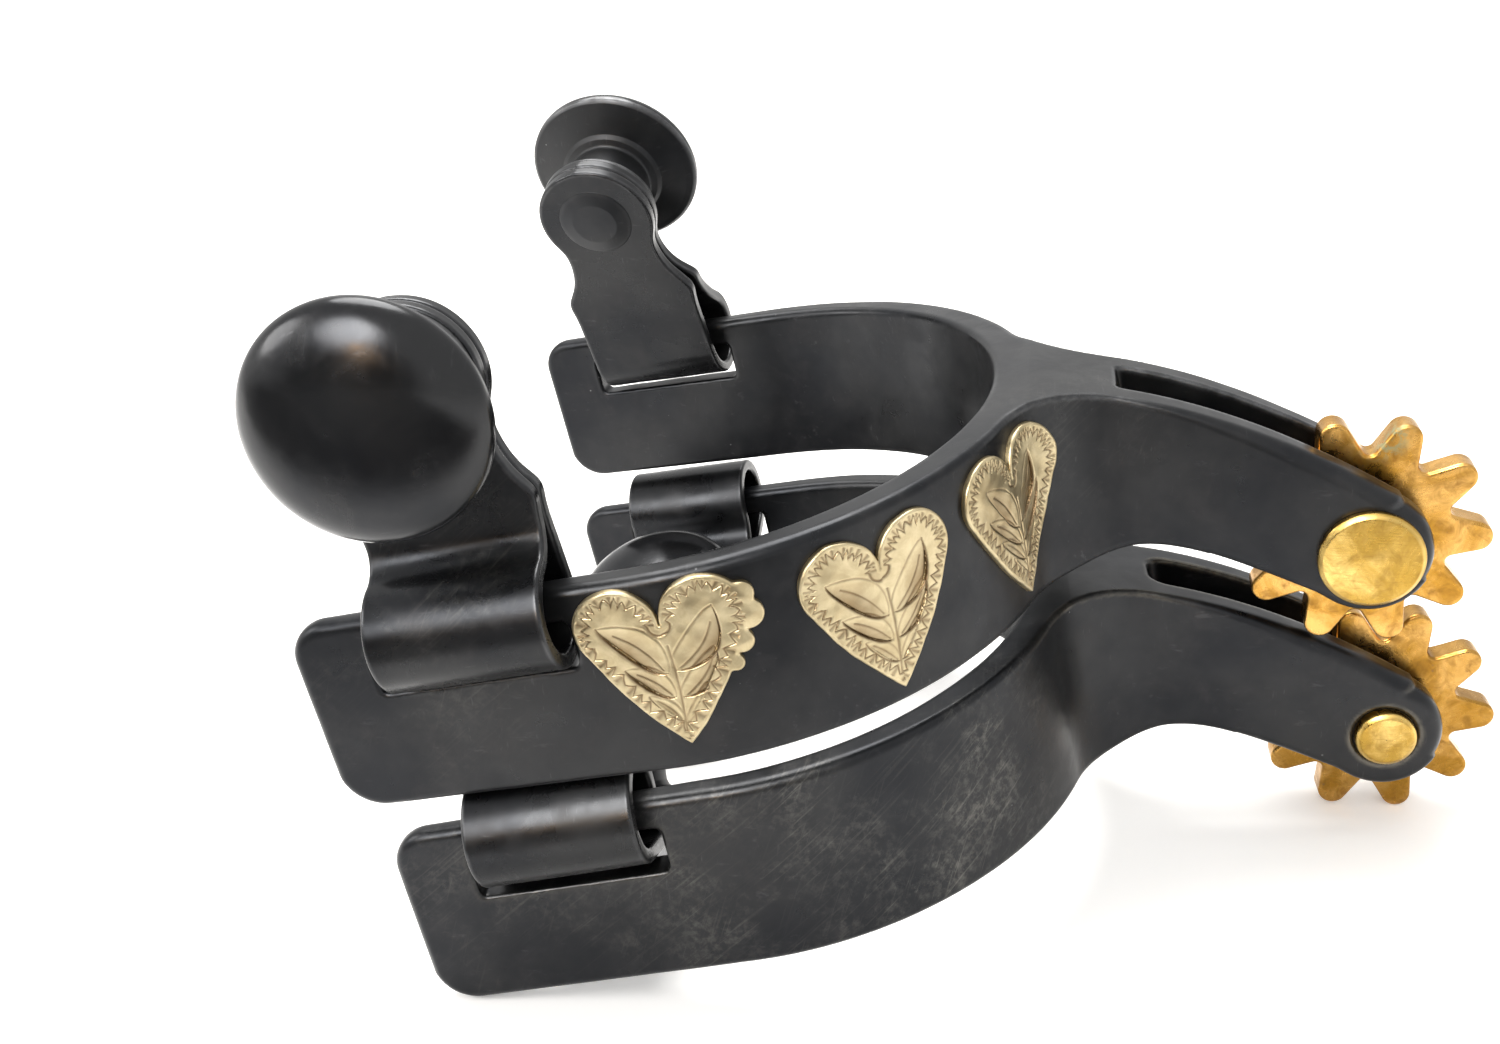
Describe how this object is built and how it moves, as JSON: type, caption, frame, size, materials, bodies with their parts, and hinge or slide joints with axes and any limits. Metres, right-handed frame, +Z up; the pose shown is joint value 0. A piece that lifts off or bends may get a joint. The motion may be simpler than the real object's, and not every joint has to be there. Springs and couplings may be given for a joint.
{
  "type": "pair of western spurs",
  "caption": "Western cowboy spurs with blued heel bands, swinging strap buttons, brass rowels and engraved silver heart overlays.",
  "frame": {"origin": "middle of the footprint of the stacked pair, on the supporting surface", "axes": "+X from the arm ends towards the rowels, +Z up, +Y from the left spur's outer side (hearts) towards the right spur's outer side"},
  "size_m": [0.147, 0.1178, 0.0979],
  "materials": {
    "blued_steel": "satin blue-black",
    "pin_brass": "brushed",
    "rowel_brass": "cast and worn",
    "silver_overlay": "hand engraved nickel silver, warm"
  },
  "bodies": {
    "right_inner_strap_hanger": {"right_inner_hanger": "blued_steel", "right_inner_button": "blued_steel"},
    "right_outer_strap_hanger": {"right_outer_hanger": "blued_steel", "right_outer_button": "blued_steel"},
    "left_inner_strap_hanger": {"left_inner_hanger": "blued_steel", "left_inner_button": "blued_steel"},
    "left_outer_strap_hanger": {"left_outer_hanger": "blued_steel", "left_outer_button": "blued_steel"},
    "right_rowel_wheel": {"right_rowel": "rowel_brass"},
    "left_rowel_wheel": {"left_rowel": "rowel_brass"},
    "right_spur_frame": {"right_heel_band": "blued_steel", "right_rowel_pin": "pin_brass", "right_heart_front": "silver_overlay", "right_heart_middle": "silver_overlay", "right_heart_rear": "silver_overlay"},
    "left_spur_frame": {"left_heel_band": "blued_steel", "left_rowel_pin": "pin_brass", "left_heart_front": "silver_overlay", "left_heart_middle": "silver_overlay", "left_heart_rear": "silver_overlay"}
  },
  "joints": [
    {"name": "left_spur_lift", "type": "slide", "parent": "right_spur_frame", "child": "left_spur_frame", "axis": [0, 0, 1], "range_m": [0, 0.08]},
    {"name": "right_rowel_spin", "type": "hinge", "parent": "right_spur_frame", "child": "right_rowel_wheel", "pos_m": [0.05763, 0.0063, 0.01531], "axis": [0, 1, 0], "continuous": true},
    {"name": "left_rowel_spin", "type": "hinge", "parent": "left_spur_frame", "child": "left_rowel_wheel", "pos_m": [0.05238, -0.00041, 0.04559], "axis": [0.0443, 0.9986, 0.0276], "continuous": true},
    {"name": "right_inner_hanger_hinge", "type": "hinge", "parent": "right_spur_frame", "child": "right_inner_strap_hanger", "pos_m": [-0.04544, -0.0389, 0.02503], "axis": [0.9846, 0.0678, 0.1612], "range_deg": [-2, 62]},
    {"name": "right_outer_hanger_hinge", "type": "hinge", "parent": "right_spur_frame", "child": "right_outer_strap_hanger", "pos_m": [-0.04544, 0.0515, 0.02503], "axis": [-0.9846, 0.0678, -0.1612], "range_deg": [-8, 58]},
    {"name": "left_inner_hanger_hinge", "type": "hinge", "parent": "left_spur_frame", "child": "left_inner_strap_hanger", "pos_m": [-0.04861, 0.04903, 0.05645], "axis": [-0.9803, 0.1158, -0.1602], "range_deg": [-101, 143]},
    {"name": "left_outer_hanger_hinge", "type": "hinge", "parent": "left_spur_frame", "child": "left_outer_strap_hanger", "pos_m": [-0.05164, -0.04134, 0.05412], "axis": [0.9863, 0.0197, 0.164], "range_deg": [-121, 122]}
  ]
}
